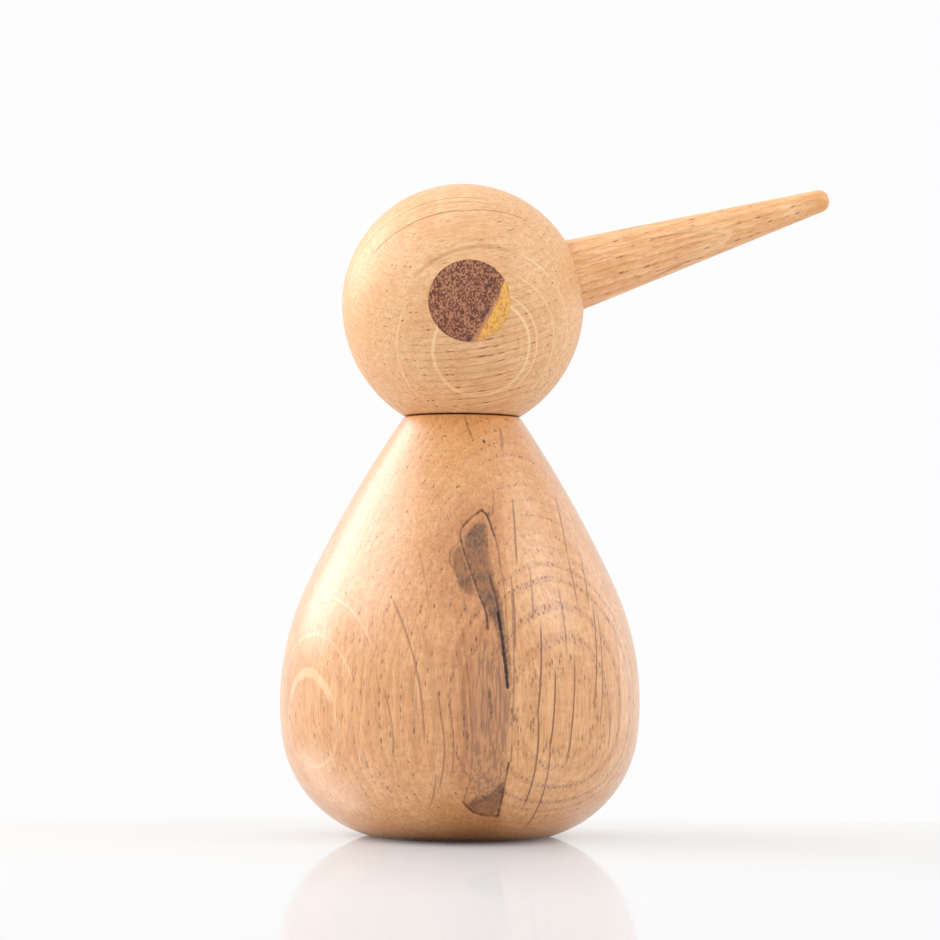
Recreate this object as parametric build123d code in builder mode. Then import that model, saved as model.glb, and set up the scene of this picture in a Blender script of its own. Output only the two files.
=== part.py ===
from build123d import *
import os
from math import cos, radians, sin

# A turned oak bird that stands on a table. Its ball head swivels on magnets and pulls off.
#
# Millimetres. The origin is the centre of the foot, on the surface that the bird stands on.
# +Z is up and +X is the way the beak points at rest. The bird's right side faces -Y.
#
# Outside there are an egg-shaped body, a ball head with a flat underside, a tapered beak glued
# into the head, and a round wooden plug for each eye. In the neck a countersunk ring magnet is
# screwed into the body and another into the head. The lower magnet stands proud of the body
# and enters the head's recess, so it centres the head. A thin leather washer lies loose around
# it, so that oak doesn't rub on oak.

# Body: an egg of three tangent arcs, cut flat at the foot and at the neck.
body_height = 76.75
belly_radius = 33.0  # largest radius of the egg
belly_height = 24.5  # where the egg is widest
belly_arc_radius = 51.0
belly_arc_above = 25.0  # degrees of belly arc above the widest point
belly_arc_below = 6.5
foot_radius = 16.2
neck_radius = 10.8
foot_edge_round = 0.6
neck_edge_round = 0.25

# Head: a half ball over a slightly longer lower half, cut flat at the neck.
washer_thickness = 0.3
head_bottom = body_height + washer_thickness
head_flat_radius = 10.7
head_radius = 22.3
head_centre = 97.7  # height of the head's widest point
head_edge_round = 0.25

# Eyes: plugs of dark wood, sanded flush with the ball.
eye_height = 96.4
eye_radius = 7.3
eye_depth = 9.0  # how deep a plug goes from the ball's side
eye_end_chamfer = 0.5

# Beak: a round tapered rod with a straight tail in the head.
beak_rise = 17.5  # degrees above level
beak_root_height = 97.05  # where the beak's axis crosses the head's axis
beak_tail_start = 9.5  # distances along the beak's axis, from the head's axis
beak_taper_start = 21.8
beak_taper_end = 68.7
beak_tip = 71.5
beak_radius = 6.6
beak_end_radius = 2.15
beak_tail_chamfer = 0.6

# Neck hardware: two alike magnets, one countersunk screw each, and the washer.
magnet_radius = 6.0
magnet_thickness = 4.0
magnet_hole_radius = 1.7
magnet_sink_radius = 3.3
magnet_edge = 0.3
magnet_proud = 1.5  # how far the lower magnet stands above the body
magnet_gap = 0.2  # air between the two magnets
pocket_clearance = 0.05
socket_clearance = 0.2
washer_radius = 9.0
washer_hole_radius = 6.35

# Screws: 3 mm countersunk wood screws.
screw_radius = 1.5
screw_core_radius = 1.05
screw_head_radius = 3.0
screw_head_height = 1.5
screw_sunk = 0.2  # how far a screw's head lies under its magnet's face
screw_pitch = 1.35
screw_tip_length = 2.4
screw_plain_length = 3.0  # head and plain shank together
body_screw_length = 16.0
head_screw_length = 12.0
pilot_radius = 1.25
recess_width = 0.55  # cross recess in a screw's head
recess_length = 3.0
recess_depth = 1.1

glue_gap = 0.03  # around the beak's tail and the eye plugs

body_magnet_bottom = body_height + magnet_proud - magnet_thickness
head_magnet_bottom = body_height + magnet_proud + magnet_gap
head_magnet_top = head_magnet_bottom + magnet_thickness
beak_plane = Plane(
    origin=(0, 0, beak_root_height),
    x_dir=(cos(radians(beak_rise)), 0, sin(radians(beak_rise))),
    z_dir=(0, -1, 0),
)
beak_socket_plane = Plane(origin=beak_plane.origin, z_dir=beak_plane.x_dir)


def circles_at(part, height):
    # the part's round edges that lie at one height
    rounds = part.edges().filter_by(GeomType.CIRCLE)
    return rounds.filter_by_position(Axis.Z, height - 0.01, height + 0.01)


# ---- body ----
with BuildPart() as body:
    with BuildSketch(Plane.XZ):
        with BuildLine():
            belly = CenterArc(
                (belly_radius - belly_arc_radius, belly_height),
                belly_arc_radius,
                -belly_arc_below,
                belly_arc_above + belly_arc_below,
            )
            shoulder = TangentArc(belly @ 1, (neck_radius, body_height), tangent=belly % 1)
            haunch = TangentArc(belly @ 0, (foot_radius, 0), tangent=-(belly % 0))
            Polyline(shoulder @ 1, (0, body_height), (0, 0), haunch @ 1)
        make_face()
    revolve(axis=Axis.Z)
    fillet(circles_at(body, 0).sort_by(SortBy.RADIUS)[-1], foot_edge_round)
    fillet(circles_at(body, body_height).sort_by(SortBy.RADIUS)[-1], neck_edge_round)
    with Locations((0, 0, body_height)):
        Hole(magnet_radius + pocket_clearance, depth=body_height - body_magnet_bottom)
    with Locations((0, 0, body_magnet_bottom)):
        Hole(pilot_radius, depth=body_screw_length - magnet_thickness)
body.part.label = "body"

# ---- head ----
with BuildPart() as head_blank:
    with BuildSketch(Plane.XZ):
        with BuildLine():
            crown = CenterArc((0, head_centre), head_radius, 0, 90)
            jaw = TangentArc(crown @ 0, (head_flat_radius, head_bottom), tangent=(0, -1))
            Polyline(jaw @ 1, (0, head_bottom), crown @ 1)
        make_face()
    revolve(axis=Axis.Z)
    fillet(circles_at(head_blank, head_bottom), head_edge_round)

with BuildPart() as head:
    add(head_blank.part)
    # stepped recess: the lower magnet's socket, then the head magnet's pocket
    with BuildSketch(Plane.XY.offset(head_bottom)):
        Circle(magnet_radius + socket_clearance)
    extrude(amount=head_magnet_bottom - head_bottom, mode=Mode.SUBTRACT)
    with BuildSketch(Plane.XY.offset(head_magnet_bottom)):
        Circle(magnet_radius + pocket_clearance)
    extrude(amount=magnet_thickness, mode=Mode.SUBTRACT)
    with BuildSketch(Plane.XY.offset(head_magnet_top)):
        Circle(pilot_radius)
    extrude(amount=head_screw_length - magnet_thickness, mode=Mode.SUBTRACT)
    # blind holes for the eye plugs, one from each side
    for side in (-1, 1):
        with BuildSketch(Plane(origin=(0, side * head_radius, eye_height), z_dir=(0, -side, 0))):
            Circle(eye_radius + glue_gap)
        extrude(amount=eye_depth, mode=Mode.SUBTRACT)
    # blind hole for the beak's tail
    with BuildSketch(beak_socket_plane.offset(beak_tail_start)):
        Circle(beak_radius + glue_gap)
    extrude(amount=head_radius, mode=Mode.SUBTRACT)
head.part.label = "head"

# ---- beak ----
with BuildPart() as beak:
    with BuildSketch(beak_plane):
        with BuildLine():
            Polyline(
                (beak_tail_start, 0),
                (beak_tail_start, beak_radius - beak_tail_chamfer),
                (beak_tail_start + beak_tail_chamfer, beak_radius),
                (beak_taper_start, beak_radius),
                (beak_taper_end, beak_end_radius),
            )
            EllipticalCenterArc(
                (beak_taper_end, 0), beak_tip - beak_taper_end, beak_end_radius, arc_size=90
            )
            Line((beak_tip, 0), (beak_tail_start, 0))
        make_face()
    revolve(axis=Axis(beak_plane.origin, beak_plane.x_dir))
beak.part.label = "beak"


# ---- eye plugs ----
def eye_plug(side, name):
    # starts at the ball's side, y = side * head_radius, and has its outer end shaped as the ball
    with BuildPart() as plug:
        with BuildSketch(Plane(origin=(0, side * head_radius, eye_height), z_dir=(0, -side, 0))):
            Circle(eye_radius)
        extrude(amount=eye_depth)
        inner_end = plug.faces().filter_by(Axis.Y).sort_by(Axis.Y)[0 if side > 0 else -1]
        chamfer(inner_end.edges(), eye_end_chamfer)
        add(head_blank.part, mode=Mode.INTERSECT)
    plug.part.label = name
    return plug.part


right_eye_plug = eye_plug(-1, "right_eye_plug")
left_eye_plug = eye_plug(1, "left_eye_plug")


# ---- neck hardware ----
def ring_magnet(bottom, sink_up, name):
    # its countersink opens upwards, or downwards if sink_up is False
    mouth = bottom + magnet_thickness if sink_up else bottom
    with BuildPart() as magnet:
        with BuildSketch(Plane.XY.offset(bottom)):
            Circle(magnet_radius)
        extrude(amount=magnet_thickness)
        chamfer(magnet.edges().filter_by(GeomType.CIRCLE), magnet_edge)
        with Locations(Plane(origin=(0, 0, mouth), z_dir=(0, 0, 1 if sink_up else -1))):
            CounterSinkHole(magnet_hole_radius, magnet_sink_radius, magnet_thickness)
    magnet.part.label = name
    return magnet.part


def wood_screw(head_face, length, points_down, name):
    # countersunk, with ring-shaped ridges standing for its thread
    way = -1 if points_down else 1
    axis_plane = Plane(origin=(0, 0, head_face), x_dir=(1, 0, 0), z_dir=(0, -way, 0))
    thread_end = length - screw_tip_length
    ridges = int((thread_end - screw_plain_length) / screw_pitch)
    with BuildPart() as screw:
        with BuildSketch(axis_plane):
            with BuildLine():
                outline = [(0, 0), (screw_head_radius, 0)]
                outline += [(screw_radius, screw_head_height), (screw_radius, screw_plain_length)]
                for ridge in range(ridges):
                    start = screw_plain_length + ridge * screw_pitch
                    outline.append((screw_core_radius, start + screw_pitch / 4))
                    outline.append((screw_core_radius, start + screw_pitch * 3 / 4))
                    outline.append((screw_radius, start + screw_pitch))
                outline += [(screw_core_radius, thread_end), (0, length)]
                Polyline(*outline, close=True)
            make_face()
        revolve(axis=Axis.Z)
        with BuildSketch(Plane.XY.offset(head_face)):
            Rectangle(recess_length, recess_width)
            Rectangle(recess_width, recess_length)
        extrude(amount=way * recess_depth, mode=Mode.SUBTRACT)
    screw.part.label = name
    return screw.part


body_magnet = ring_magnet(body_magnet_bottom, True, "body_magnet")
head_magnet = ring_magnet(head_magnet_bottom, False, "head_magnet")
body_screw_face = body_magnet_bottom + magnet_thickness - screw_sunk
head_screw_face = head_magnet_bottom + screw_sunk
body_magnet_screw = wood_screw(body_screw_face, body_screw_length, True, "body_magnet_screw")
head_magnet_screw = wood_screw(head_screw_face, head_screw_length, False, "head_magnet_screw")

with BuildPart() as neck_washer:
    with BuildSketch(Plane.XY.offset(body_height)):
        Circle(washer_radius)
        Circle(washer_hole_radius, mode=Mode.SUBTRACT)
    extrude(amount=washer_thickness)
neck_washer.part.label = "neck_washer"

# ---- one STEP file for each piece ----
os.makedirs("parts", exist_ok=True)
pieces = [
    body.part,
    head.part,
    beak.part,
    right_eye_plug,
    left_eye_plug,
    body_magnet,
    head_magnet,
    body_magnet_screw,
    head_magnet_screw,
    neck_washer.part,
]
for piece in pieces:
    export_step(piece, f"parts/{piece.label}.step")
    print(piece.label, round(piece.volume, 1), "mm3")
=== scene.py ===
import math

import bpy
import numpy as np
from mathutils import Matrix, Vector


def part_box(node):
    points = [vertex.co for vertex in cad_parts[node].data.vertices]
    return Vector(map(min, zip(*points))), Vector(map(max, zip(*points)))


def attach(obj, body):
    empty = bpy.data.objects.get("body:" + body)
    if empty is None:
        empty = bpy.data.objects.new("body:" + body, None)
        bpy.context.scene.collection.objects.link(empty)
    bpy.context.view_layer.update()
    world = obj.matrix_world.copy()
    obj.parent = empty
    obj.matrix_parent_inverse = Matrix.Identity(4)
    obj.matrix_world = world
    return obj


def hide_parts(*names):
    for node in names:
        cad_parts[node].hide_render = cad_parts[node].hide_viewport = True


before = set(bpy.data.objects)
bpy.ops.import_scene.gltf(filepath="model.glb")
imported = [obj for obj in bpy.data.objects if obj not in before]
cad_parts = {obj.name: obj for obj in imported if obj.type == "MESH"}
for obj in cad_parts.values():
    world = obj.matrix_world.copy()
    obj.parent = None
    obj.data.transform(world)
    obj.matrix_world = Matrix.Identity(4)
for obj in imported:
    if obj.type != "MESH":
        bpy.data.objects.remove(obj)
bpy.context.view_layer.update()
mm = 0.001


class Signal:
    # a node's output that can be used in arithmetic
    def __init__(self, maker, socket):
        self.maker = maker
        self.socket = socket

    def __add__(self, other):
        return self.maker.math("ADD", self, other)

    def __radd__(self, other):
        return self.maker.math("ADD", other, self)

    def __sub__(self, other):
        return self.maker.math("SUBTRACT", self, other)

    def __rsub__(self, other):
        return self.maker.math("SUBTRACT", other, self)

    def __mul__(self, other):
        return self.maker.math("MULTIPLY", self, other)

    def __rmul__(self, other):
        return self.maker.math("MULTIPLY", other, self)

    def __truediv__(self, other):
        return self.maker.math("DIVIDE", self, other)

    def __rtruediv__(self, other):
        return self.maker.math("DIVIDE", other, self)

    def __pow__(self, other):
        return self.maker.math("POWER", self, other)

    def other(self, name):
        # another output of the same node
        return Signal(self.maker, self.socket.node.outputs[name])


class Maker:
    # adds nodes to one tree
    def __init__(self, tree):
        self.tree = tree
        tree.nodes.clear()

    def add(self, kind, settings=None, inputs=None, out=0):
        node = self.tree.nodes.new(kind)
        for name, value in (settings or {}).items():
            if name == "stops":
                self.fillRamp(node.color_ramp, value)
            else:
                setattr(node, name, value)
        for name, value in (inputs or {}).items():
            if isinstance(value, Signal):
                self.tree.links.new(value.socket, node.inputs[name])
            else:
                node.inputs[name].default_value = value
        return Signal(self, node.outputs[out]) if node.outputs else node

    def fillRamp(self, ramp, stops):
        while len(ramp.elements) < len(stops):
            ramp.elements.new(0.5)
        for element, (position, colour) in zip(ramp.elements, stops):
            element.position = position
            element.color = (*colour, 1)

    def math(self, operation, *values):
        return self.add("ShaderNodeMath", {"operation": operation}, dict(enumerate(values)))

    def vector(self, operation, *values, out="Vector"):
        return self.add("ShaderNodeVectorMath", {"operation": operation}, dict(enumerate(values)), out)

    def dot(self, first, second):
        return self.vector("DOT_PRODUCT", first, second, out="Value")

    def combine(self, x, y, z):
        return self.add("ShaderNodeCombineXYZ", None, {0: x, 1: y, 2: z})

    def split(self, vector):
        x = self.add("ShaderNodeSeparateXYZ", None, {0: vector})
        return x, x.other("Y"), x.other("Z")

    def scaled(self, vector, factor):
        scaledPlace = self.vector("SCALE", vector)
        scaledPlace.socket.node.inputs["Scale"].default_value = factor
        return scaledPlace

    def constant(self, value):
        return self.math("ADD", 0.0, value)

    def peak(self, *values):
        return self.math("MAXIMUM", *values)

    def size(self, value):
        return self.math("ABSOLUTE", value)

    def ease(self, value, low, high):
        # 0 at low, 1 at high, smooth between
        span = {"Value": value, "From Min": low, "From Max": high}
        return self.add("ShaderNodeMapRange", {"interpolation_type": "SMOOTHSTEP"}, span)

    def noise(self, place, scale, detail=2.0, roughness=0.5):
        settings = {"Vector": place, "Scale": scale, "Detail": detail, "Roughness": roughness}
        return self.add("ShaderNodeTexNoise", None, settings)

    def blend(self, mask, first, second, mode="MIX"):
        # colour: first where the mask is 0, second where it is 1
        settings = {"data_type": "RGBA", "blend_type": mode}
        return self.add("ShaderNodeMix", settings, {0: mask, 6: first, 7: second}, 2)


def newMaterial(name):
    material = bpy.data.materials.new(name)
    material.use_nodes = True
    return material, Maker(material.node_tree)


def finishMaterial(maker, shader, settings):
    maker.add("ShaderNodeOutputMaterial", None, {"Surface": maker.add(shader, None, settings)})


def oakMaterial(name, oak):
    # solid wood: rings, pores and rays are worked out from the object's own coordinates
    material, n = newMaterial(name)
    coordinates = n.add("ShaderNodeTexCoord", None, None, "Object")
    place = n.scaled(coordinates, 1 / mm)
    place = n.vector("SUBTRACT", place, oak.get("middle", (0, 0, 0)))
    flat = n.ease(n.size(n.dot(coordinates.other("Normal"), oak["tangent"])), *oak["flatFrom"])

    # slow waves that bend the rings and the rays
    waveX, waveY = n.split(n.noise(place, 0.055, 2.0).other("Color"))[:2]
    along = n.dot(place, oak["grain"])
    across = n.dot(place, oak["tangent"])
    depth = n.dot(place, oak["radial"]) + (waveX - 0.5) * oak["ringWave"]
    ringPlace = depth + across * across * oak["ringCurve"]

    # yearly rings, of uneven width and strength
    drift = n.noise(n.combine(ringPlace, 0.0, oak["seed"]), 0.22, 1.0)
    years = (ringPlace + (drift - 0.5) * oak["ringUneven"]) / oak["ringWidth"] + oak["ringShift"]
    phase = n.math("FRACT", years)
    early = n.ease(phase, 0.0, 0.05) * (1 - n.ease(phase, 0.17, 0.3))
    late = n.ease(phase, 0.4, 0.98)
    strength = n.ease(n.noise(place, oak["patchScale"], 2.0), 0.34, 0.62)
    if oak["bands"]:
        # rings whose places are known, in the outermost wood
        outer = n.ease(ringPlace, oak["bandsFrom"], oak["bandsFrom"] + 0.3)
        early = early * (1 - outer)
        late = late * (1 - outer * 0.7)
        for centre, power in oak["bands"]:
            early = n.peak(early, (1 - n.ease(n.size(ringPlace - centre), 0.16, 0.32)) * power)
        strength = n.peak(strength, outer * 1.5)

    # pores: short dashes along the grain, crowded in the early wood
    cell = oak["poreCell"]
    porePlace = n.combine(depth * (1 / cell), across * (1 / cell), along * (1 / oak["poreSpacing"]))
    pore = n.add("ShaderNodeTexVoronoi", None, {"Vector": porePlace, "Scale": 1.0})
    offX, offY, offZ = n.split(n.vector("SUBTRACT", porePlace, pore.other("Position")))
    wide, long = oak["poreWidth"] / cell, oak["poreLength"] / oak["poreSpacing"]
    poreSize = (offX * offX + offY * offY) * (1 / wide**2) + offZ * offZ * (1 / long**2)
    chance, tint = n.split(pore.other("Color"))[:2]
    crowd = early * (strength * oak["poreCrowd"] + flat * oak["flatCrowd"] + 0.12) + oak["poreSpare"]
    pores = (1 - n.ease(poreSize, 0.4, 1.1)) * n.math("GREATER_THAN", crowd, chance)
    poreDepth = pores * (tint * 0.5 + 0.5) * (early * (1 - oak["poreFaint"]) + oak["poreFaint"])

    # fine fibres, longer streaks, and the ripple figure that runs across the grain, whose paler bands are
    # partly a painted sheen
    fibre = n.noise(n.combine(depth * 3.4, across * 3.4, along * 0.3), 1.0, 3.0, 0.65)
    fine = n.noise(n.combine(depth * 2.6, across * 2.6, along * 1.1), 1.0, 2.0, 0.7)
    streak = n.noise(n.combine(depth * 1.2, across * 1.2, along * 0.06), 1.0, 3.0, 0.55)
    ripple = n.noise(n.combine(depth * 0.3, across * 0.3, along * 1.1), 1.0, 2.0, 0.6)
    mottle = n.noise(place, 0.16, 3.0, 0.6)

    # rays: thin upright plates that run outwards from the pith
    shiver = (waveY - 0.5) * oak["rayWave"] + (n.noise(place, 0.6, 2.0) - 0.5) * 0.25
    bent = across + shiver
    rayPlace = n.combine(bent * (1 / oak["raySpacing"]), along * (1 / oak["rayHeight"]), depth * (1 / 48))
    ray = n.add("ShaderNodeTexVoronoi", None, {"Vector": rayPlace, "Scale": 1.0})
    rayX, rayY, rayZ = n.split(n.vector("SUBTRACT", rayPlace, ray.other("Position")))
    thickness = oak["rayThickness"] / oak["raySpacing"]
    raySize = rayX * rayX * (1 / thickness**2) + rayY * rayY * (1 / 0.46**2)
    rays = 1 - n.ease(raySize + rayZ * rayZ * (1 / 0.75**2), 0.35, 1.05)
    rays = rays * n.ease(n.dot(place, (0, 1, 0)), -8.0, -2.0)
    broken = n.ease(n.noise(place, 0.12, 2.0), 0.3, 0.6) * 0.5 + 0.5
    plates = n.constant(0.0)
    for start, end, half, power in oak["plates"]:
        plate = rayLine(n, across + shiver * 0.3, along, start, end, half)
        plates = n.peak(plates, plate * broken * power)
    lines = n.constant(0.0)
    for start, end, half, power in oak["lines"]:
        line = rayLine(n, across + shiver * 0.4, along, start, end, half)
        lines = n.peak(lines, line * power)
    lines = lines * n.ease(depth, *oak["linesFrom"])

    # colours
    base = n.blend(n.ease(streak, 0.35, 0.65), oak["pale"], oak["mid"])
    base = n.blend(n.ease(mottle, 0.4, 0.7) * oak["warmTone"], base, oak["warm"])
    base = n.blend(n.ease(along, *oak["goldFrom"]) * oak["goldTone"], base, oak["gold"])
    base = n.blend(late * strength * oak["lateTone"], base, oak["late"])
    base = n.blend(n.ease(fibre, 0.42, 0.7) * oak["fibreTone"], base, oak["dark"])
    base = n.blend(n.ease(fine, 0.55, 0.72) * oak["fineTone"], base, oak["dark"])
    base = n.blend(early * (strength * oak["bandTone"] + flat * oak["flatTone"]), base, oak["dark"])
    # ripple bands: grain figure blended towards a paler tone, partly a painted sheen
    base = n.blend(n.ease(ripple, 0.48, 0.72) * (1 - flat) * oak["rippleTone"], base, oak["silkSheen"])
    rayColour = n.blend(flat, oak["rayDark"], oak["rayPale"])
    base = n.blend(rays * (flat * (oak["palest"] - 0.8) + 0.8), base, rayColour)
    base = n.blend(lines * oak["lineTone"], base, oak["rayDark"])
    base = n.blend(poreDepth * (1 - rays * flat) * oak["poreTone"], base, oak["pore"])
    base = n.blend(plates * oak["palest"], base, oak["rayPale"])
    height = 1 - pores * 0.8 - fibre * 0.15
    shine = n.constant(oak["coat"])
    if oak.get("bark"):
        base, height, soot = barkColours(n, place, base, height, oak["bark"])
        shine = shine * (1 - soot * 0.75)

    bump = n.add("ShaderNodeBump", None, {"Strength": 0.3, "Distance": 0.1 * mm, "Height": height})
    finishMaterial(
        n,
        "ShaderNodeBsdfPrincipled",
        {
            "Base Color": base,
            "Roughness": oak["roughness"] + pores * 0.25 + (fibre - 0.5) * 0.12 - plates * 0.08,
            "Normal": bump,
            "Specular IOR Level": 0.35,
            "Coat Weight": shine,
            "Coat Roughness": oak["coatRoughness"],
            "Coat IOR": oak["coatIndex"],
        },
    )
    return material


def rayLine(n, across, along, start, end, half):
    # one plate, which meets the surface in a line; start and end are (across, along)
    lean = (end[0] - start[0]) / (end[1] - start[1])
    aside = n.size(across - along * lean - (start[0] - start[1] * lean))
    beyond = n.size(along - (start[1] + end[1]) / 2) - abs(end[1] - start[1]) / 2
    return (1 - n.ease(aside, half * 0.6, half * 1.5)) * (1 - n.ease(beyond, -2.5, 0.5))


def barkColours(n, place, base, height, bark):
    # dark bark grown into the wood, with cracks; its distances are stored on the mesh, in millimetres
    def stored(name):
        return n.add("ShaderNodeAttribute", {"attribute_name": name}, None, "Fac")

    ragged = (n.noise(place, 1.3, 3.0, 0.6) - 0.5) * 0.6
    tall = n.vector("MULTIPLY", place, (1.9, 1.9, 0.09))
    streaks = n.noise(tall, 1.0, 3.0, 0.6)
    specks = n.noise(place, 2.6, 2.0, 0.6)
    # browner wood round the bark, except beyond the seam on its right
    x = n.dot(place, (1, 0, 0))
    away = n.math("MINIMUM", stored("barkSoot"), stored("barkLow")) + ragged * 2 + (streaks - 0.5) * 9
    halo = (1 - n.ease(away, 1.0, 8.0)) * (1 - n.ease(x, 5.2, 7.4))
    streaky = n.ease(streaks, 0.4, 0.62) * 0.4 + 0.6
    base = n.blend(halo * streaky, base, bark["halo"], "MULTIPLY")
    low = 1 - n.ease(stored("barkLow") + ragged, -0.6, 0.4)
    base = n.blend(low * 0.4, base, bark["wood"])
    base = n.blend(low * n.ease(streaks, 0.46, 0.61) * 0.75, base, bark["streak"])
    soot = 1 - n.ease(stored("barkSoot") + ragged * 1.2 + (streaks - 0.5) * 1.2, -0.5, 0.4)
    sootTone = n.blend(n.ease(streaks, 0.4, 0.62), bark["soot"], bark["sootPale"])
    sootTone = n.blend(n.ease(specks, 0.5, 0.64) * 0.6, sootTone, bark["streak"])
    patchy = n.ease(n.noise(place, 0.4, 2.0), 0.35, 0.6) * 0.3 + 0.58
    base = n.blend(soot * patchy, base, sootTone)
    worn = n.ease(n.noise(place, 0.35, 2.0), 0.35, 0.6) * 0.5 + 0.5
    faint = 1 - n.ease(stored("barkFaint") + ragged * 0.4, 0.06, 0.3)
    base = n.blend(faint * worn * 0.75, base, bark["faint"])
    thin = 1 - n.ease(stored("barkSeam") + ragged * 0.5, 0.06, 0.36)
    base = n.blend(thin * worn * 0.92, base, bark["line"])
    # the crack is painted near black: dark bark in it, and painted shade inside the gap
    thick = 1 - n.ease(stored("barkCrack") + ragged * 0.8, 0.14, 0.42)
    base = n.blend(thick * 0.96, base, bark["crack"])
    height = height - thin * 0.8 - thick * 1.5 - soot * specks * 0.4
    return base, height, n.peak(soot, n.peak(thin, thick))


oakTones = {
    "pale": (0.82, 0.435, 0.186, 1),
    "mid": (0.69, 0.32, 0.118, 1),
    "late": (0.57, 0.24, 0.079, 1),
    "dark": (0.37, 0.14, 0.04, 1),
    "warm": (0.685, 0.295, 0.092, 1),
    # paler ripple tone below, partly a painted sheen
    "silkSheen": (0.84, 0.515, 0.275, 1),
    "gold": (0.7, 0.3, 0.058, 1),
    "goldFrom": (90.0, 99.0),
    "pore": (0.17, 0.055, 0.018, 1),
    "rayDark": (0.23, 0.068, 0.012, 1),
    "rayPale": (0.93, 0.64, 0.37, 1),
    "flatFrom": (0.74, 0.94),
    "patchScale": 0.05,
    "poreCell": 0.5,
    "poreWidth": 0.2,
    "poreSpacing": 1.9,
    "poreLength": 0.68,
    "poreCrowd": 0.6,
    "poreSpare": 0.05,
    "poreFaint": 0.45,
    "warmTone": 0.45,
    "goldTone": 0.5,
    "lateTone": 0.3,
    "fibreTone": 0.5,
    "fineTone": 0.34,
    "lineTone": 0.95,
    "poreTone": 0.9,
    "bandTone": 0.18,
    "flatTone": 0.0,
    "flatCrowd": 0.0,
    "rippleTone": 0.2,
    "roughness": 0.46,
    "coatIndex": 1.6,
    "bands": [],
}


def woodFrame(radial, grain):
    # radial, tangent and grain directions at right angles to one another
    grain = Vector(grain).normalized()
    radial = Vector(radial)
    radial = (radial - grain * radial.dot(grain)).normalized()
    return {"radial": radial, "grain": grain, "tangent": grain.cross(radial)}


def latheTree():
    # turns a profile of points (radius, 0, height) round the z axis
    tree = bpy.data.node_groups.new("turnedPiece", "GeometryNodeTree")
    tree.is_modifier = True
    for name, kind in (
        ("Profile", "NodeSocketGeometry"),
        ("Columns", "NodeSocketInt"),
        ("Crowding", "NodeSocketFloat"),
        ("Crowded Azimuth", "NodeSocketFloat"),
        ("Material", "NodeSocketMaterial"),
    ):
        tree.interface.new_socket(name, in_out="INPUT", socket_type=kind)
    tree.interface.new_socket("Piece", in_out="OUTPUT", socket_type="NodeSocketGeometry")
    n = Maker(tree)
    profile = n.add("NodeGroupInput")
    rows = n.add("GeometryNodeAttributeDomainSize", {"component": "MESH"}, {0: profile})
    columns = profile.other("Columns") + 1
    gridSize = {"Size X": 1.0, "Size Y": 1.0, "Vertices X": columns, "Vertices Y": rows}
    grid = n.add("GeometryNodeMeshGrid", None, gridSize)
    place = n.add("GeometryNodeInputPosition")
    x, y = n.split(place)[:2]
    turn = (x + 0.5) * (2 * math.pi)
    row = n.add("FunctionNodeFloatToInt", {"rounding_mode": "ROUND"}, {0: (y + 0.5) * (rows - 1)})
    sampleSettings = {"data_type": "FLOAT_VECTOR", "domain": "POINT"}
    sample = n.add("GeometryNodeSampleIndex", sampleSettings, {0: profile, "Value": place, "Index": row})
    radius, height = n.split(sample)[::2]
    angle = turn - profile.other("Crowding") * n.math("SINE", turn) + profile.other("Crowded Azimuth")
    turned = n.combine(radius * n.math("SINE", angle), radius * n.math("COSINE", angle) * -1, height)
    shaped = n.add("GeometryNodeSetPosition", None, {"Geometry": grid, "Position": turned})
    closed = n.add("GeometryNodeMergeByDistance", None, {"Geometry": shaped, "Distance": 0.001 * mm})
    smooth = n.add("GeometryNodeSetShadeSmooth", None, {"Geometry": closed, "Shade Smooth": True})
    real = n.add("GeometryNodeRealizeInstances", None, {"Geometry": smooth})
    coated = {"Geometry": real, "Material": profile.other("Material")}
    n.add("NodeGroupOutput", None, {0: n.add("GeometryNodeSetMaterial", None, coated)})
    return tree


def runTree(tree, name, mesh, values):
    # a new plain object with what the tree makes of the mesh
    source = bpy.data.objects.new(name + "Source", mesh)
    bpy.context.scene.collection.objects.link(source)
    modifier = source.modifiers.new("tree", "NODES")
    modifier.node_group = tree
    for item in tree.interface.items_tree:
        if item.in_out == "INPUT" and item.name in values:
            modifier[item.identifier] = values[item.name]
    return plainCopy(source, name)


def plainCopy(source, name):
    bpy.context.view_layer.update()
    evaluated = source.evaluated_get(bpy.context.evaluated_depsgraph_get())
    mesh = bpy.data.meshes.new_from_object(evaluated)
    bpy.data.objects.remove(source)
    piece = bpy.data.objects.new(name, mesh)
    bpy.context.scene.collection.objects.link(piece)
    return piece


def profileMesh(points):
    mesh = bpy.data.meshes.new("profile")
    vertices = [(radius * mm, 0, height * mm) for radius, height in points]
    mesh.from_pydata(vertices, [(i, i + 1) for i in range(len(points) - 1)], [])
    return mesh


def arcPoints(centre, radius, start, end, spacing):
    # angles in degrees from the r axis
    steps = max(2, math.ceil(abs(math.radians(end - start)) * radius / spacing))
    angles = [math.radians(start + (end - start) * i / steps) for i in range(steps + 1)]
    return [(centre[0] + radius * math.cos(a), centre[1] + radius * math.sin(a)) for a in angles]


def tangentArc(start, direction, end, spacing):
    # the arc that leaves start along direction and reaches end
    start, end, direction = Vector(start), Vector(end), Vector(direction).normalized()
    normal = Vector((-direction.y, direction.x))
    chord = end - start
    signed = chord.length_squared / (2 * chord.dot(normal))
    centre = start + normal * signed
    first = math.degrees(math.atan2(*reversed(start - centre)))
    last = math.degrees(math.atan2(*reversed(end - centre)))
    last += 360 * round((first - last) / 360)
    return arcPoints(centre, abs(signed), first, last, spacing)


def spreadLine(points, spacing):
    # the corners given, and evenly spread points between them
    line = [points[0]]
    for a, b in zip(points, points[1:]):
        steps = max(1, round(math.dist(a, b) / spacing))
        for i in range(1, steps + 1):
            line.append((a[0] + (b[0] - a[0]) * i / steps, a[1] + (b[1] - a[1]) * i / steps))
    return line


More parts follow.
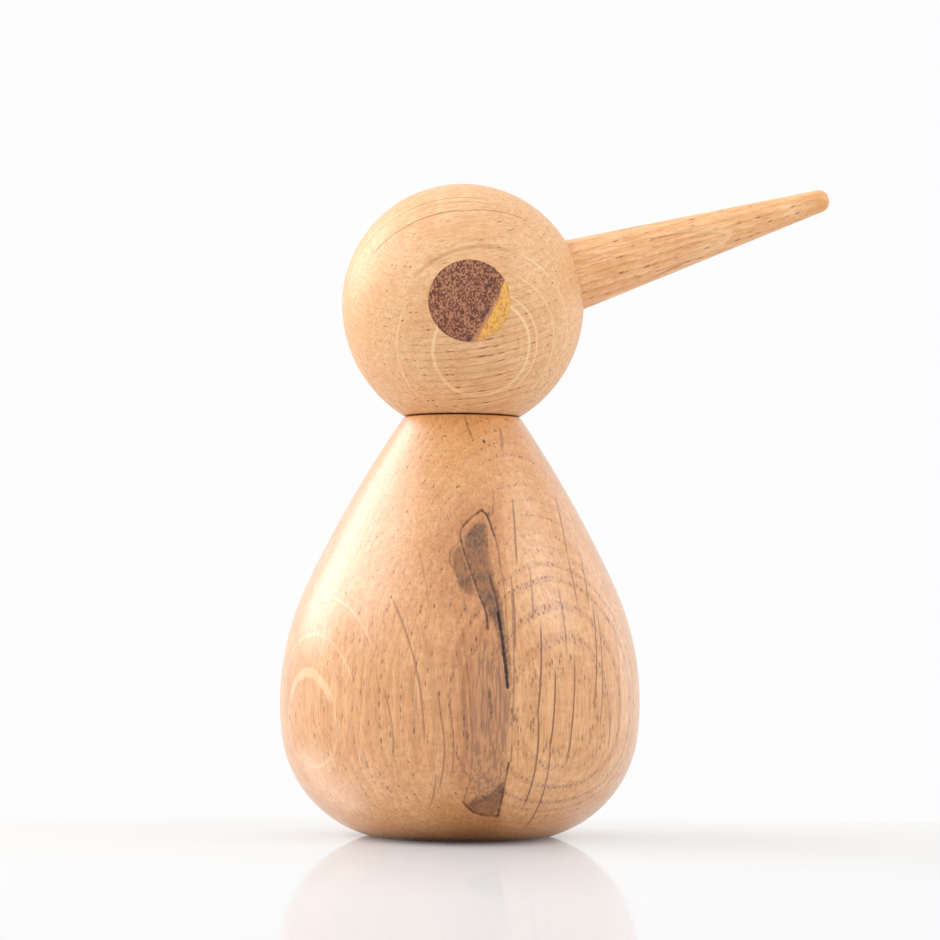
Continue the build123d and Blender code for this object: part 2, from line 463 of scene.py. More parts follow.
def roundedJoin(first, second, radius):
    # joins two runs of points that meet at a corner, with a small round there
    corner = Vector(first[-1])
    kept = [p for p in first if (Vector(p) - corner).length > radius]
    after = [p for p in second if (Vector(p) - corner).length > radius]
    start = corner + (Vector(first[-2]) - corner).normalized() * radius
    end = corner + (Vector(second[1]) - corner).normalized() * radius
    steps = 4
    bend = []
    for i in range(steps + 1):
        t = i / steps
        bend.append(tuple(start * (1 - t) ** 2 + corner * (2 * t * (1 - t)) + end * t**2))
    return kept + bend + after


boxes = {name: [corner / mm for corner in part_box(name)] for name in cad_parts}
lathe = latheTree()
sharpAngle = math.radians(32)

bodySettings = {
    "bellyArc": 51.0,
    "bellyHeight": 24.5,
    "bellyAbove": 25.0,
    "bellyBelow": -6.5,
    "footRadius": 16.2,
    "neckRadius": 10.8,
    "pocketPlay": 0.05,
    "pilotRadius": 1.25,
    "rowSpacing": 0.36,
    "columns": 380,
    "crowding": 0.66,
    "crowdedAzimuth": 5.0,
}


def bodyProfile(s):
    bellyRadius = boxes["body"][1].x
    top = boxes["body"][1].z
    pocketFloor = boxes["body_magnet"][0].z
    pocketRadius = boxes["body_magnet"][1].x + s["pocketPlay"]
    pilotEnd = boxes["body_magnet_screw"][0].z
    centre = (bellyRadius - s["bellyArc"], s["bellyHeight"])
    belly = arcPoints(centre, s["bellyArc"], s["bellyBelow"], s["bellyAbove"], s["rowSpacing"])
    low, high = math.radians(s["bellyBelow"]), math.radians(s["bellyAbove"])
    haunchWay = (math.sin(low), -math.cos(low))
    haunch = tangentArc(belly[0], haunchWay, (s["footRadius"], 0), s["rowSpacing"])[::-1]
    shoulderWay = (-math.sin(high), math.cos(high))
    shoulder = tangentArc(belly[-1], shoulderWay, (s["neckRadius"], top), s["rowSpacing"] * 1.15)
    foot = spreadLine([(0, 0), (s["footRadius"], 0)], 4.0)
    rim = spreadLine([(s["neckRadius"], top), (pocketRadius, top)], 1.2)
    pocket = [(pocketRadius, pocketFloor), (s["pilotRadius"], pocketFloor)]
    pocket += [(s["pilotRadius"], pilotEnd), (0, pilotEnd)]
    outside = haunch + belly[1:] + shoulder[1:]
    line = roundedJoin(foot, outside, 0.5)
    return roundedJoin(line, rim, 0.25) + pocket


def turned(name, profile, s, material):
    values = {
        "Columns": s["columns"],
        "Crowding": s["crowding"],
        "Crowded Azimuth": math.radians(s["crowdedAzimuth"]),
        "Material": material,
    }
    piece = runTree(lathe, name, profileMesh(profile), values)
    piece.data.set_sharp_from_angle(angle=sharpAngle)
    return piece


# bark grown into the front: azimuths in degrees from the front, heights in millimetres
barkSettings = {
    "barkSoot": [
        [
            (1.0, 56.2), (5.5, 57.0), (8.2, 56.8), (7.9, 52.7), (8.3, 48.2), (10.8, 42.9), (11.5, 38.0),
            (11.8, 33.0), (9.9, 33.0), (8.2, 38.0), (5.9, 40.5), (3.2, 43.8), (-0.2, 49.1), (-2.6, 53.0),
        ],
        [(-3.5, 53.0), (-7.0, 51.2), (-6.2, 48.7), (-2.6, 44.3), (0.8, 43.3), (2.2, 45.0), (-1.2, 50.0)],
        [(10.2, 36.0), (12.2, 36.0), (12.5, 28.1), (11.2, 27.6)],
        [
            (-0.7, 7.6), (2.1, 8.2), (7.4, 9.0), (11.2, 11.5), (12.3, 11.5), (12.3, 7.9), (12.4, 5.1),
            (2.7, 5.7),
        ],
        [(5.2, 27.0), (6.0, 28.0), (6.9, 23.5), (6.6, 21.5), (5.8, 24.0)],
    ],
    "barkLow": [
        [
            (0.4, 30.0), (2.0, 36.0), (9.0, 36.0), (12.3, 28.0), (12.4, 16.8), (11.9, 9.7), (4.3, 7.9),
            (0.8, 9.0),
        ],
    ],
    "barkSeam": [
        [
            (6.5, 59.0), (0.9, 57.5), (-3.6, 55.5), (-3.1, 53.2), (-0.6, 49.7), (2.0, 45.9), (3.7, 43.2),
            (5.4, 41.0), (5.8, 37.8),
        ],
        [(6.5, 59.0), (8.9, 58.2), (10.4, 55.6), (11.0, 54.4)],
        [(7.2, 47.0), (8.8, 44.3), (9.6, 40.1), (9.9, 38.0)],
        [(7.5, 46.0), (8.9, 43.6), (9.5, 41.0)],
        [(12.6, 14.5), (12.2, 11.8), (12.1, 8.3), (12.3, 5.2)],
        [(-1.6, 7.5), (0.2, 6.5), (2.7, 5.6), (7.6, 5.0), (12.5, 4.9)],
        [(6.7, 33.6), (6.9, 33.2)],
        [(13.2, 71.9), (13.4, 71.5)],
    ],
    "barkFaint": [
        [(-0.3, 76.3), (1.9, 74.1), (5.8, 71.5)],
        [(8.9, 58.2), (11.4, 57.9), (12.8, 60.3), (13.6, 62.7)],
        [
            (11.0, 54.4), (11.7, 52.9), (11.9, 49.3), (12.5, 46.0), (12.1, 39.4), (12.2, 33.3),
            (12.6, 28.1),
        ],
        [
            (-3.1, 53.5), (-5.9, 52.3), (-7.8, 51.2), (-7.2, 49.2), (-5.1, 48.2), (-3.0, 44.6),
            (-1.1, 40.9),
        ],
        [(-2.6, 37.8), (-1.5, 33.3), (-0.2, 28.1), (0.2, 22.4), (1.1, 16.8), (0.3, 11.4), (-1.6, 7.5)],
        [(15.5, 47.0), (14.1, 37.9), (13.6, 28.1), (13.0, 20.5), (13.3, 14.9)],
        [(30.3, 74.1), (29.4, 72.1), (25.7, 70.2)],
    ],
    "barkCrack": [
        [(9.5, 40.6), (10.3, 36.4), (10.7, 33.0), (11.3, 30.0), (11.5, 27.7)],
    ],
    "middle": 6.0,
    "farOff": 99.0,
    "crackDepth": 0.3,
    "crackWidth": 0.3,
    "seamDepth": 0.12,
    "seamWidth": 0.25,
    "halo": (0.74, 0.6, 0.45, 1),
    "wood": (0.5, 0.225, 0.085, 1),
    "streak": (0.27, 0.11, 0.046, 1),
    "soot": (0.075, 0.042, 0.032, 1),
    "sootPale": (0.26, 0.12, 0.062, 1),
    "faint": (0.24, 0.08, 0.025, 1),
    "line": (0.09, 0.03, 0.01, 1),
    # near-black crack colour: dark bark, partly painted shade inside the gap
    "crack": (0.022, 0.01, 0.006, 1),
}


def lineDistance(points, line, closed=False):
    # each point's distance to a line of corners, in the same flat units
    corners = np.array(line, float)
    ends = np.roll(corners, -1, 0) if closed else corners[1:]
    starts = corners if closed else corners[:-1]
    best = np.full(len(points), 1e9)
    for a, b in zip(starts, ends):
        t = np.clip(((points - a) @ (b - a)) / ((b - a) @ (b - a)), 0, 1)
        best = np.minimum(best, np.linalg.norm(points - a - t[:, None] * (b - a), axis=1))
    return best


def insideLine(points, line):
    corners = np.array(line, float)
    inside = np.zeros(len(points), bool)
    for (ax, ay), (bx, by) in zip(corners, np.roll(corners, -1, 0)):
        if ay != by:
            crossing = (bx - ax) * (points[:, 1] - ay) / (by - ay) + ax
            inside ^= ((ay > points[:, 1]) != (by > points[:, 1])) & (points[:, 0] < crossing)
    return inside


def softLine(line, closed=False):
    # rounds a line of corners, once
    corners = [Vector(p) for p in line]
    following = corners[1:] + corners[:1] if closed else corners[1:]
    cut = []
    for a, b in zip(corners, following):
        cut += [tuple(a.lerp(b, 0.25)), tuple(a.lerp(b, 0.75))]
    return cut if closed else [tuple(corners[0])] + cut[1:-1] + [tuple(corners[-1])]


def carveBark(piece, s):
    mesh = piece.data
    co = np.zeros(len(mesh.vertices) * 3)
    mesh.vertices.foreach_get("co", co)
    co = co.reshape(-1, 3)
    normals = np.zeros(len(mesh.vertices) * 3)
    mesh.vertices.foreach_get("normal", normals)
    normals = normals.reshape(-1, 3)
    radius = np.hypot(co[:, 0], co[:, 1]) / mm
    azimuth = np.degrees(np.arctan2(co[:, 0], -co[:, 1]))
    height = co[:, 2] / mm
    outside = (radius > boxes["body_magnet"][1].x + 1) & (height > 0.5)

    # unroll round the middle of the patch, where a degree has the local circle's length
    middle = s["middle"]
    flat = np.stack([np.radians(azimuth - middle) * radius, height], 1)
    heights, order = np.unique(np.round(height[outside], 3), return_index=True)
    radii = radius[outside][order]

    def unroll(line):
        return [(math.radians(a - middle) * np.interp(h, heights, radii), h) for a, h in line]

    near = {}
    for name in ("barkSoot", "barkLow", "barkSeam", "barkFaint", "barkCrack"):
        closed = name in ("barkSoot", "barkLow")
        near[name] = np.full(len(flat), s["farOff"])
        for line in s[name]:
            line = softLine(unroll(line), closed)
            aside = lineDistance(flat, line, closed)
            if closed:
                aside = np.where(insideLine(flat, line), -aside, aside)
            near[name] = np.minimum(near[name], np.where(outside, aside, s["farOff"]))
        layer = mesh.attributes.new(name, "FLOAT", "POINT")
        layer.data.foreach_set("value", near[name].astype(np.float32))
    sink = s["crackDepth"] * np.exp(-((near["barkCrack"] / s["crackWidth"]) ** 2))
    sink += s["seamDepth"] * np.exp(-((near["barkSeam"] / s["seamWidth"]) ** 2))
    co -= normals * (sink * mm)[:, None]
    mesh.vertices.foreach_set("co", co.ravel())
    mesh.update()


bodyOak = {
    **oakTones,
    **woodFrame((math.sin(math.radians(31.4)), -math.cos(math.radians(31.4)), 0.0), (0.0, 0.0, 1.0)),
    "seed": 3.0,
    "ringWidth": 1.59,
    "ringShift": 0.19,
    "ringUneven": 0.8,
    "ringWave": 0.9,
    "ringCurve": 0.001,
    "goldFrom": (48.0, 76.0),
    "bandsFrom": 25.6,
    "bands": [(32.3, 0.6), (31.5, 0.8), (29.9, 1.0), (27.9, 1.0), (26.6, 0.8)],
    "rippleTone": 0.24,
    "raySpacing": 2.7,
    "rayHeight": 24.0,
    "rayThickness": 0.16,
    "rayWave": 1.2,
    "plates": [
        # pale ovals on the left, where the cut follows the plates
        ((-32.2, 24.0), (-34.9, 59.0), 0.15, 0.78),
        ((-30.3, 0.0), (-32.2, 25.0), 0.07, 0.42),
        ((-30.7, 28.0), (-33.4, 60.0), 0.09, 0.5),
        ((-28.3, 0.0), (-30.6, 27.0), 0.06, 0.32),
        ((-28.5, 34.0), (-30.6, 60.0), 0.1, 0.42),
    ],
    "linesFrom": (-5.0, 0.0),
    "lines": [
        # dark lines in front, where the cut crosses the plates
        ((-2.9, 61.3), (-6.0, 48.8), 0.17, 0.9),
        ((-7.8, 46.3), (-9.6, 33.2), 0.17, 0.8),
        ((-3.6, 49.2), (-5.5, 38.8), 0.16, 0.7),
        ((-4.0, 39.4), (-6.0, 22.0), 0.17, 1.0),
        ((-5.8, 24.0), (-4.7, 6.0), 0.17, 1.0),
        ((-2.1, 31.5), (-3.1, 16.0), 0.17, 1.0),
        ((-3.0, 18.0), (-1.2, 2.0), 0.17, 0.9),
        ((1.4, 46.1), (0.6, 33.6), 0.16, 0.8),
        ((2.2, 33.5), (0.9, 13.5), 0.17, 0.9),
        ((8.2, 62.8), (5.7, 50.5), 0.16, 0.8),
        ((5.8, 51.5), (5.0, 41.5), 0.16, 0.8),
        ((9.7, 51.5), (7.8, 41.3), 0.16, 0.8),
        ((9.1, 42.8), (6.6, 23.7), 0.17, 0.9),
        ((10.0, 41.9), (8.3, 20.0), 0.14, 0.8),
        ((11.4, 23.8), (11.2, 15.7), 0.14, 0.8),
        ((14.6, 40.0), (14.0, 16.0), 0.14, 0.6),
        ((-0.2, 74.9), (-1.5, 70.0), 0.1, 0.7),
        ((8.7, 73.0), (8.0, 66.0), 0.1, 0.6),
        ((-25.2, 43.5), (-23.2, 17.5), 0.12, 0.6),
        ((-21.9, 28.0), (-19.5, 9.0), 0.11, 0.6),
        ((-19.8, 53.5), (-21.4, 40.4), 0.09, 0.35),
        ((-28.1, 28.0), (-26.2, 14.0), 0.09, 0.5),
        ((-20.9, 12.9), (-19.1, 5.7), 0.12, 0.6),
        ((-24.9, 30.0), (-24.0, 14.0), 0.35, 0.22),
        ((-22.6, 38.0), (-21.6, 12.0), 0.4, 0.2),
        ((-18.6, 36.0), (-17.2, 10.0), 0.4, 0.25),
        ((-20.3, 26.0), (-18.6, 11.5), 0.1, 0.55),
    ],
    "palest": 0.75,
    "coat": 1.0,
    "coatRoughness": 0.3,
    "bark": barkSettings,
}
bodyMaterial = oakMaterial("bodyOak", bodyOak)
body = turned("turned_body", bodyProfile(bodySettings), bodySettings, bodyMaterial)
carveBark(body, barkSettings)
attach(body, "body")
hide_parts("body")
print("body turned", len(body.data.polygons), "faces")

headSettings = {
    "centreHeight": 97.7,
    "flatRadius": 10.7,
    "pocketPlay": 0.05,
    "socketPlay": 0.2,
    "pilotRadius": 1.25,
    "rowSpacing": 0.45,
    "columns": 300,
    "crowding": 0.3,
    "crowdedAzimuth": 0.0,
    "glueGap": 0.03,
}


def headProfile(s):
    top = boxes["head"][1].z
    bottom = boxes["head"][0].z
    radius = top - s["centreHeight"]
    flatEdge = (s["flatRadius"], bottom)
    crown = arcPoints((0, s["centreHeight"]), radius, 90, 0, s["rowSpacing"])[::-1]
    jaw = tangentArc((radius, s["centreHeight"]), (0, -1), flatEdge, s["rowSpacing"])[::-1]
    magnetBottom, magnetTop = boxes["head_magnet"][0].z, boxes["head_magnet"][1].z
    magnetRadius = boxes["head_magnet"][1].x
    wide, snug = magnetRadius + s["socketPlay"], magnetRadius + s["pocketPlay"]
    pilotEnd = boxes["head_magnet_screw"][1].z
    inner = [(0, pilotEnd), (s["pilotRadius"], pilotEnd), (s["pilotRadius"], magnetTop)]
    inner += [(snug, magnetTop), (snug, magnetBottom), (wide, magnetBottom), (wide, bottom)]
    rim = spreadLine([(wide, bottom), flatEdge], 1.2)
    outside = jaw + crown[1:]
    outside[-1] = (0, top)
    return inner + roundedJoin(rim, outside, 0.25)[1:]


def cutter(name, start, end, radius):
    # a round bar from start to end
    line = [(0, 0), (radius, 0), (radius, 1), (0, 1)]
    axis = (Vector(end) - Vector(start)) * mm
    values = {"Columns": 128, "Crowding": 0.0, "Crowded Azimuth": 0.0}
    bar = runTree(lathe, name, profileMesh(line), values)
    stretch = Matrix.Diagonal((1, 1, axis.length / mm, 1))
    bar.data.transform(axis.to_track_quat("Z", "Y").to_matrix().to_4x4() @ stretch)
    bar.data.transform(Matrix.Translation(Vector(start) * mm))
    return bar


def cutHoles(piece, bars):
    for bar in bars:
        cut = piece.modifiers.new("cut", "BOOLEAN")
        cut.operation = "DIFFERENCE"
        cut.solver = "EXACT"
        cut.object = bar
    name = piece.name
    made = plainCopy(piece, name + "Cut")
    made.name = name
    for bar in bars:
        bpy.data.objects.remove(bar)
    made.data.set_sharp_from_angle(angle=sharpAngle)
    return made


headOak = {
    **oakTones,
    **woodFrame((-0.153, -0.433, 0.882), (0.98, 0.06, 0.19)),
    "pale": (0.86, 0.525, 0.275, 1),
    "mid": (0.76, 0.43, 0.205, 1),
    "late": (0.69, 0.355, 0.155, 1),
    "dark": (0.49, 0.225, 0.085, 1),
    "warm": (0.76, 0.39, 0.165, 1),
    # paler ripple tone below, partly a painted sheen
    "silkSheen": (0.87, 0.585, 0.35, 1),
    "bandTone": 0.08,
    "flatTone": 0.42,
    "poreCrowd": 0.2,
    "flatCrowd": 0.6,
    "poreWidth": 0.16,
    "poreSpacing": 2.4,
    "poreLength": 0.95,
    "middle": (0, 0, headSettings["centreHeight"]),
    "seed": 7.0,
    "ringWidth": 1.45,
    "ringShift": 0.4,
    "ringUneven": 0.7,
    "ringWave": 0.8,
    "ringCurve": 0.0,
    "raySpacing": 3.0,
    "rayHeight": 30.0,
    "rayThickness": 0.14,
    "rayWave": 1.0,
    "plates": [
        # pale arcs below the eye and beside it
        ((20.3, -20.0), (21.0, 20.0), 0.11, 0.9),
        ((20.1, 4.5), (20.1, 13.0), 0.07, 0.8),
        ((18.1, 7.0), (17.9, 15.0), 0.07, 0.8),
        ((15.2, 9.0), (15.1, 18.0), 0.09, 0.9),
        ((16.5, -17.5), (16.6, -12.0), 0.08, 0.8),
    ],
    "linesFrom": (9.0, 12.5),
    "lines": [
        # brown arcs above the eye and over the crown
        ((15.2, -11.0), (15.2, 9.0), 0.26, 0.3),
        ((5.2, -17.0), (8.0, 2.0), 0.13, 0.7),
        ((8.1, 0.0), (7.6, 13.0), 0.12, 0.6),
        ((0.4, -18.0), (4.6, 7.0), 0.12, 0.6),
        ((3.6, -9.0), (6.2, 8.0), 0.1, 0.45),
    ],
    "palest": 0.75,
    "coat": 0.12,
    "coatRoughness": 0.3,
}

eye = {
    "height": (boxes["right_eye_plug"][0].z + boxes["right_eye_plug"][1].z) / 2,
    "radius": boxes["right_eye_plug"][1].x,
    "inner": boxes["left_eye_plug"][0].y,
}
beakSettings = {
    "rise": 17.5,
    "rootHeight": 97.05,
    "tailStart": 9.5,
    "taperStart": 21.8,
    "taperEnd": 68.7,
    "tip": 71.5,
    "tipWorn": 0.15,
    "tipSquare": 0.82,
    "radius": 6.6,
    "endRadius": 2.15,
    "tailChamfer": 0.6,
    "columns": 120,
    "crowding": 0.0,
    "crowdedAzimuth": 0.0,
    "rowSpacing": 0.5,
}
rise = math.radians(beakSettings["rise"])
beakWay = Vector((math.cos(rise), 0, math.sin(rise)))
beakRoot = Vector((0, 0, beakSettings["rootHeight"]))


def sockets(s):
    for side in (-1, 1):
        start = (0, side * eye["inner"], eye["height"])
        end = (0, side * (eye["inner"] + 20), eye["height"])
        yield cutter("eyeSocket", start, end, eye["radius"] + s["glueGap"])
    start = beakRoot + beakWay * beakSettings["tailStart"]
    end = beakRoot + beakWay * 40
    yield cutter("beakSocket", start, end, beakSettings["radius"] + s["glueGap"])


headMaterial = oakMaterial("headOak", headOak)
head = turned("turned_head", headProfile(headSettings), headSettings, headMaterial)
head = cutHoles(head, list(sockets(headSettings)))
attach(head, "head")
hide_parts("head")
print("head turned", len(head.data.polygons), "faces")


def beakProfile(s):
    start, tail = s["tailStart"], s["tailChamfer"]
    wide, shoulder = s["radius"], s["taperStart"]
    line = [(0, start), (wide - tail, start), (wide, start + tail), (wide, shoulder)]
    taper = spreadLine([(wide, shoulder), (s["endRadius"], s["taperEnd"])], s["rowSpacing"])
    # the worn end, a little squarer than a half ball
    dome = arcPoints((0, 0), 1, 0, 90, 0.08)
    tall = s["tip"] - s["tipWorn"] - s["taperEnd"]
    square = s["tipSquare"]
    tip = [(x**square * s["endRadius"], s["taperEnd"] + y**square * tall) for x, y in dome[:-1]]
    tip += [(0, s["taperEnd"] + tall)]
    return line + taper[1:] + tip[1:]


beakOak = {
    **oakTones,
    **woodFrame((0.0, -0.35, 0.94), (math.cos(rise), 0.0, math.sin(rise) - 0.02)),
    "pale": (0.95, 0.59, 0.31, 1),
    "mid": (0.83, 0.45, 0.205, 1),
    "late": (0.72, 0.34, 0.135, 1),
    "dark": (0.5, 0.2, 0.065, 1),
    "warm": (0.84, 0.41, 0.165, 1),
    "bandTone": 0.4,
    "poreWidth": 0.16,
    "seed": 11.0,
    "ringWidth": 1.5,
    "ringShift": 0.1,
    "ringUneven": 1.0,
    "ringWave": 0.9,
    "ringCurve": 0.004,
    "raySpacing": 3.1,
    "rayHeight": 26.0,
    "rayThickness": 0.14,
    "rayWave": 0.8,
    "plates": [],
    "linesFrom": (0.0, 1.0),
    "lines": [],
    "palest": 0.5,
    "coat": 0.12,
    "coatRoughness": 0.3,
}
beakMaterial = oakMaterial("beakOak", beakOak)
beak = turned("turned_beak", beakProfile(beakSettings), beakSettings, beakMaterial)
beak.data.transform(beakWay.to_track_quat("Z", "Y").to_matrix().to_4x4())
beak.data.transform(Matrix.Translation(beakRoot * mm))
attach(beak, "head")
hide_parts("beak")
print("beak turned", len(beak.data.polygons), "faces")


def eyeMaterial(s):
    # dark heartwood seen end on, with a chord of yellow sapwood
    material, n = newMaterial("eyeWood")
    coordinates = n.add("ShaderNodeTexCoord", None, None, "Object")
    place = n.vector("MULTIPLY", coordinates, (1 / mm, 0.12 / mm, 1 / mm))
    x, z = n.split(place)[::2]
    across = (x - s["chord"][0]) * s["way"][0] + (z - s["chord"][1]) * s["way"][1]
    up = (z - s["chord"][1]) * s["way"][0] - (x - s["chord"][0]) * s["way"][1]
    across = across + up * up * s["bow"] + (n.noise(place, 0.7, 2.0) - 0.5) * 0.9
    sap = n.ease(across, -0.12, 0.14)
    edge = n.ease(across, -0.9, -0.3) * (1 - n.ease(across, -0.05, 0.35))
    edge = edge * (1 - n.ease(up, -3.0, 4.0) * 0.8)
    worm = n.noise(n.vector("MULTIPLY", place, (1.2, 1.0, 0.85)), 2.9, 1.0, 0.5)
    dots = n.ease(worm, 0.46, 0.6)
    rim = 1 - n.ease(worm, 0.36, 0.47)
    patches = n.ease(n.noise(place, 0.42, 2.0), 0.52, 0.64) * n.ease(across, -4.2, -1.6)
    heart = n.blend(n.ease(n.noise(place, 1.4, 3.0), 0.35, 0.65), s["heart"], s["heartDark"])
    heart = n.blend(rim * 0.7, heart, s["heartDark"])
    heart = n.blend(dots * 0.72, heart, s["dot"])
    heart = n.blend(patches * 0.7, heart, s["heartBlack"])
    sapwood = n.blend(n.ease(n.noise(place, 0.9, 2.0), 0.35, 0.65), s["sap"], s["sapWarm"])
    sapwood = n.blend(rim * 0.7, sapwood, s["sapDark"])
    base = n.blend(sap, heart, sapwood)
    base = n.blend(edge * 0.75, base, s["edge"])
    relief = {"Strength": 0.3, "Distance": 0.08 * mm, "Height": dots - rim}
    bump = n.add("ShaderNodeBump", None, relief)
    settings = {"Base Color": base, "Roughness": 0.5 + rim * 0.15, "Normal": bump}
    settings["Specular IOR Level"] = 0.3
    finishMaterial(n, "ShaderNodeBsdfPrincipled", settings)
    return material


eyeSettings = {
    "chord": (4.8, 96.1),
    "way": (0.925, -0.38),
    "bow": 0.014,
    "heart": (0.3, 0.1, 0.048, 1),
    "heartDark": (0.13, 0.042, 0.025, 1),
    "heartBlack": (0.06, 0.028, 0.036, 1),
    "dot": (0.54, 0.26, 0.145, 1),
    "edge": (0.64, 0.27, 0.14, 1),
    "sap": (0.86, 0.48, 0.085, 1),
    "sapWarm": (0.82, 0.4, 0.12, 1),
    "sapDark": (0.42, 0.17, 0.04, 1),
}


def metalMaterial(name, colour, roughness):
    material, n = newMaterial(name)
    place = n.add("ShaderNodeTexCoord", None, None, "Object")
    wear = n.noise(place, 900.0, 4.0, 0.6)
    bump = n.add("ShaderNodeBump", None, {"Strength": 0.08, "Distance": 0.03 * mm, "Height": wear})
    settings = {"Base Color": colour, "Metallic": 1.0, "Normal": bump}
    settings["Roughness"] = roughness + n.ease(wear, 0.4, 0.7) * 0.12
    finishMaterial(n, "ShaderNodeBsdfPrincipled", settings)
    return material


def leatherMaterial(name):
    material, n = newMaterial(name)
    place = n.add("ShaderNodeTexCoord", None, None, "Object")
    cellSettings = {"Vector": place, "Scale": 1900.0}
    cells = n.add("ShaderNodeTexVoronoi", {"feature": "DISTANCE_TO_EDGE"}, cellSettings)
    grain = n.ease(cells, 0.0, 0.25)
    tone = n.noise(place, 350.0, 3.0)
    base = n.blend(n.ease(tone, 0.3, 0.7), (0.05, 0.03, 0.02, 1), (0.1, 0.06, 0.038, 1))
    bump = n.add("ShaderNodeBump", None, {"Strength": 0.5, "Distance": 0.05 * mm, "Height": grain})
    settings = {"Base Color": base, "Roughness": 0.82 - grain * 0.12, "Normal": bump}
    finishMaterial(n, "ShaderNodeBsdfPrincipled", settings)
    return material


def coat(node, material):
    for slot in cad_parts[node].material_slots:
        slot.material = material


eyeWood = eyeMaterial(eyeSettings)
nickel = metalMaterial("magnetNickel", (0.74, 0.71, 0.66, 1), 0.16)
steel = metalMaterial("screwSteel", (0.62, 0.62, 0.6, 1), 0.3)
leather = leatherMaterial("washerLeather")
for node, material in (
    ("right_eye_plug", eyeWood),
    ("left_eye_plug", eyeWood),
    ("body_magnet", nickel),
    ("head_magnet", nickel),
    ("body_magnet_screw", steel),
    ("head_magnet_screw", steel),
    ("neck_washer", leather),
):
    coat(node, material)
print("eyes and neck hardware coated")

stageSettings = {
    "cameraDistance": 614.0,
    "cameraHeight": 36.6,
    "cameraAzimuth": -3.1,
    "cameraRise": 2.85,
    "cameraPan": 0.144,
    "cameraRoll": 0.42,
    "lens": 127.7,
    "floorSize": 4.0,
    "floorBack": 0.055,
    "floorColour": (0.66, 0.665, 0.68),
    "glowColour": (0.99, 0.99, 1.0),
    "glow": 0.36,
    "glossColour": (0.99, 0.97, 0.93),
    "glossNear": (-20.0, 0.42),
    "glossFar": (-150.0, 0.2),
    "glossRoughness": 0.05,
    # painted contact shadow round the foot: its reach, where it fades, its colour and its strength
    "shadeAcross": 16.0,
    "shadeAhead": 27.0,
    "shadeFrom": (0.6, 1.43),
    "shadeColour": (0.02, 0.015, 0.01),
    "shade": 0.92,
    "worldStrength": 0.98,
    "aim": (0, 0, 0.06),
    # place, width, height and power of each light
    "lights": {
        "leftBox": ((-0.7, 0.4, 0.5), 0.6, 0.6, 4.6),
        "leftFrontBox": ((-0.8, -0.14, 0.68), 0.45, 0.55, 2.5),
        "rightBox": ((0.74, -0.26, 0.6), 0.5, 0.5, 1.7),
        "topBox": ((0.0, 0.1, 0.95), 0.6, 0.6, 0.4),
        "rimBox": ((0.6, 0.45, 0.2), 0.12, 0.5, 0.2),
    },
}


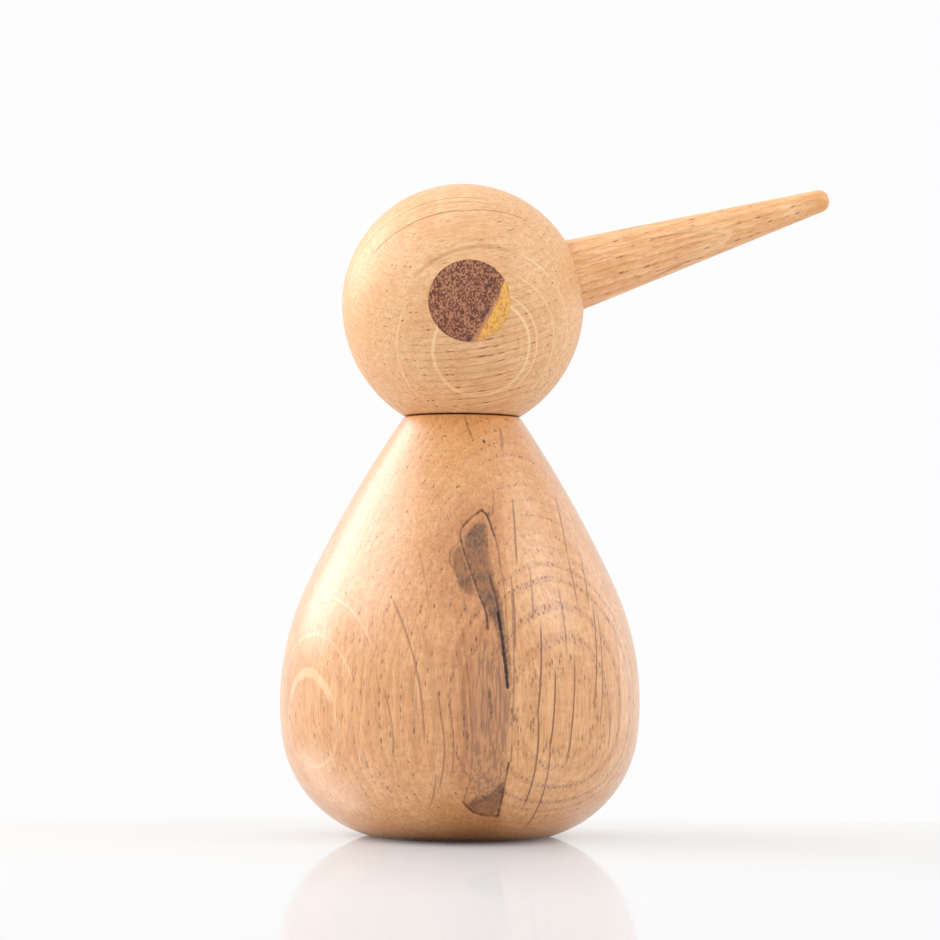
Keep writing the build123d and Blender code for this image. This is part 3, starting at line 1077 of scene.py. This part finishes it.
def makeFloor(s):
    half, back = s["floorSize"] / 2, s["floorBack"]
    mesh = bpy.data.meshes.new("floor")
    corners = [(-half, -half, 0), (half, -half, 0), (half, back, 0), (-half, back, 0)]
    mesh.from_pydata(corners, [], [(0, 1, 2, 3)])
    floor = bpy.data.objects.new("floor", mesh)
    bpy.context.scene.collection.objects.link(floor)
    material, n = newMaterial("floorWhite")
    place = n.scaled(n.add("ShaderNodeTexCoord", None, None, "Object"), 1 / mm)
    x, y = n.split(place)[:2]
    gloss = n.add("ShaderNodeMapRange", None, {"Value": y, 1: s["glossFar"][0], 2: s["glossNear"][0]})
    gloss.socket.node.inputs[3].default_value = s["glossFar"][1]
    gloss.socket.node.inputs[4].default_value = s["glossNear"][1]
    matt = n.add("ShaderNodeBsdfDiffuse", None, {"Color": (*s["floorColour"], 1)})
    glow = n.add("ShaderNodeBsdfTranslucent", None, {"Color": (*s["glowColour"], 1)})
    milky = n.add("ShaderNodeMixShader", None, {0: s["glow"], 1: matt, 2: glow})
    # painted contact shadow: close to the foot the floor is mixed towards a near-black diffuse
    across, ahead = s["shadeAcross"], s["shadeAhead"]
    reach = n.math("SQRT", x * x * (1 / across**2) + y * y * (1 / ahead**2))
    shade = (1 - n.ease(reach, *s["shadeFrom"])) * s["shade"]
    paintedShadow = n.add("ShaderNodeBsdfDiffuse", None, {"Color": (*s["shadeColour"], 1)})
    near = n.add("ShaderNodeMixShader", None, {0: shade, 1: milky, 2: paintedShadow})
    glossy = {"Color": (*s["glossColour"], 1), "Roughness": s["glossRoughness"]}
    mirror = n.add("ShaderNodeBsdfGlossy", None, glossy)
    finishMaterial(n, "ShaderNodeMixShader", {0: gloss, 1: near, 2: mirror})
    mesh.materials.append(material)


def softBox(name, place, target, width, height, power):
    light = bpy.data.lights.new(name, "AREA")
    light.shape = "RECTANGLE"
    light.size, light.size_y = width, height
    light.energy = power
    lamp = bpy.data.objects.new(name, light)
    lamp.location = place
    lamp.rotation_euler = (Vector(target) - Vector(place)).to_track_quat("-Z", "Y").to_euler()
    bpy.context.scene.collection.objects.link(lamp)


def makeCamera(s):
    data = bpy.data.cameras.new("camera")
    data.lens = s["lens"]
    data.sensor_width = 36.0
    data.clip_start, data.clip_end = 0.05, 20
    camera = bpy.data.objects.new("camera", data)
    turn = math.radians(s["cameraAzimuth"])
    camera.location = Vector((math.sin(turn), -math.cos(turn), 0)) * s["cameraDistance"] * mm
    camera.location.z = s["cameraHeight"] * mm
    heading = Matrix.Rotation(math.radians(s["cameraAzimuth"] - s["cameraPan"]), 4, "Z")
    tilt = Matrix.Rotation(math.radians(90 + s["cameraRise"]), 4, "X")
    roll = Matrix.Rotation(math.radians(s["cameraRoll"]), 4, "Z")
    camera.rotation_euler = (heading @ tilt @ roll).to_euler()
    bpy.context.scene.collection.objects.link(camera)
    bpy.context.scene.camera = camera


def makeWorld(s):
    world = bpy.data.worlds.new("studio")
    world.use_nodes = True
    n = Maker(world.node_tree)
    light = n.add("ShaderNodeBackground", None, {"Color": (1, 1, 1, 1), "Strength": s["worldStrength"]})
    n.add("ShaderNodeOutputWorld", None, {"Surface": light})
    bpy.context.scene.world = world


makeFloor(stageSettings)
makeWorld(stageSettings)
for name, (place, width, height, power) in stageSettings["lights"].items():
    softBox(name, place, stageSettings["aim"], width, height, power)
makeCamera(stageSettings)
bpy.context.scene.view_settings.view_transform = "Standard"
print("stage set")
